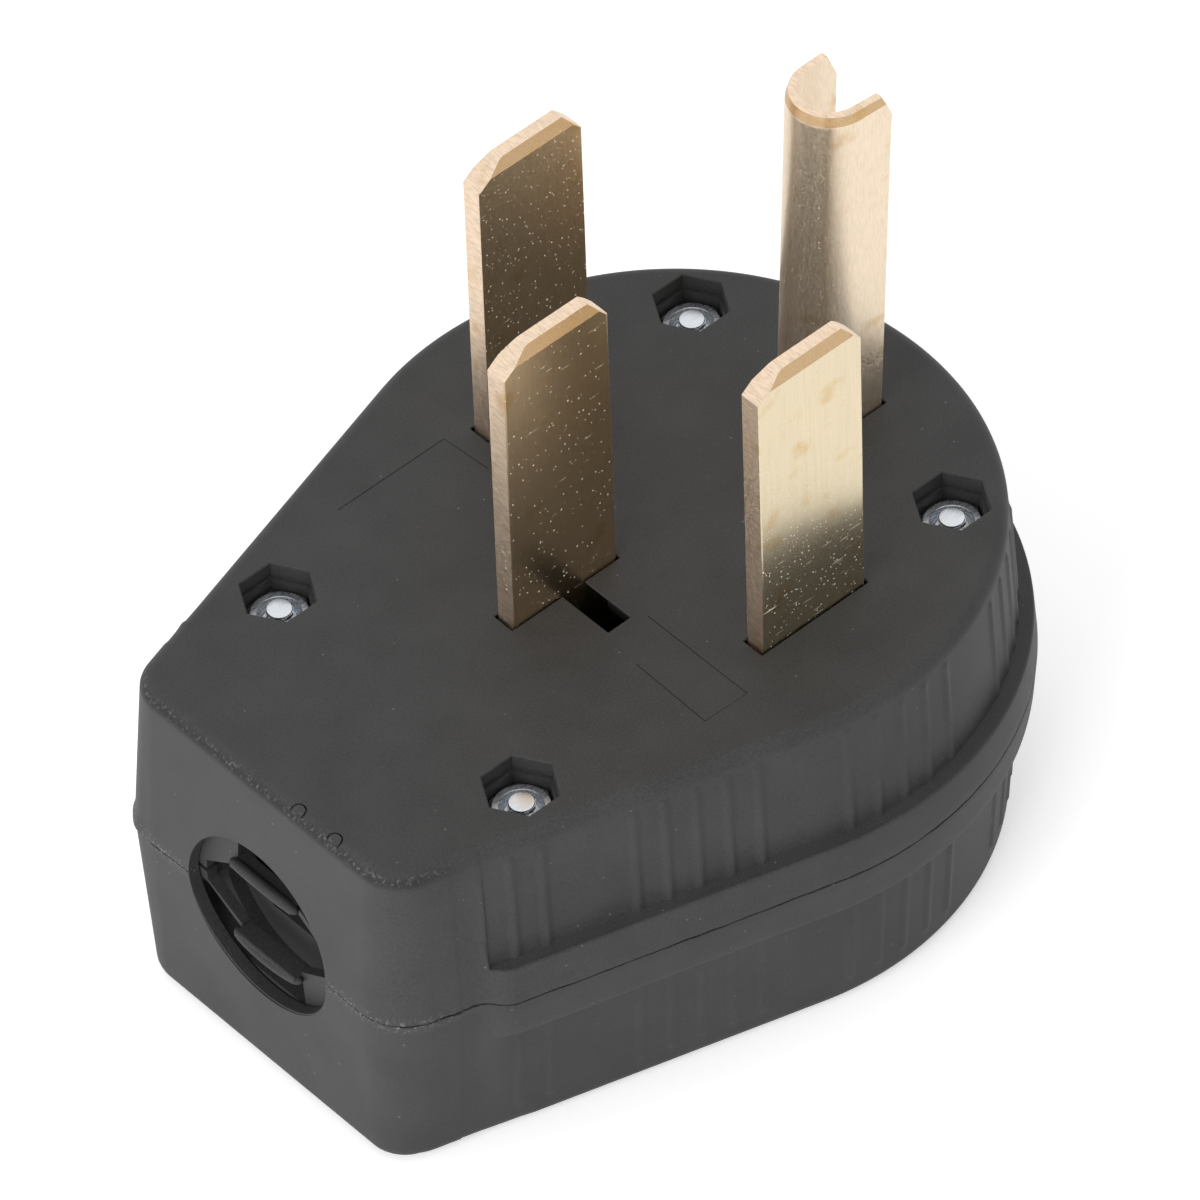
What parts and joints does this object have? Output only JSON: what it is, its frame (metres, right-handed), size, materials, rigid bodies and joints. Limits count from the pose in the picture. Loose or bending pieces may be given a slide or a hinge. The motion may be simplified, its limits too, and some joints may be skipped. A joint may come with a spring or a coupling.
{
  "type": "angled plug",
  "caption": "Angled plug with flat blades, a longer U-shaped ground pin, and a two-part drop-shaped housing with grip flutes and a cord entry at its narrow side.",
  "frame": {"origin": "middle of the blade pattern, on the flat back of the housing", "axes": "+Z along the blades, +X away from the cord entry towards the round end, +Y to the left blade"},
  "size_m": [0.0978, 0.0776, 0.0904],
  "materials": {
    "moulded_nylon": "satin",
    "moulded_grip": "satin",
    "brass_blade": "polished",
    "zinc_plated_steel": "bright",
    "green_screw": "satin"
  },
  "bodies": {
    "root": {"front_cover": "moulded_nylon", "back_cover": "moulded_nylon", "hot_blade_left": "brass_blade", "hot_blade_right": "brass_blade", "neutral_blade": "brass_blade", "ground_pin": "brass_blade", "ground_terminal_plate": "brass_blade", "hot_left_clamp_plate": "zinc_plated_steel", "hot_left_terminal_screw": "brass_blade", "hot_right_clamp_plate": "zinc_plated_steel", "hot_right_terminal_screw": "brass_blade", "neutral_clamp_plate": "zinc_plated_steel", "neutral_terminal_screw": "brass_blade", "ground_clamp_plate": "zinc_plated_steel", "ground_terminal_screw": "green_screw", "cover_screw_1": "zinc_plated_steel", "cover_nut_1": "zinc_plated_steel", "cover_screw_2": "zinc_plated_steel", "cover_nut_2": "zinc_plated_steel", "cover_screw_3": "zinc_plated_steel", "cover_nut_3": "zinc_plated_steel", "cover_screw_4": "zinc_plated_steel", "cover_nut_4": "zinc_plated_steel", "upper_cord_grip": "moulded_grip", "lower_cord_grip": "moulded_grip"}
  },
  "joints": []
}
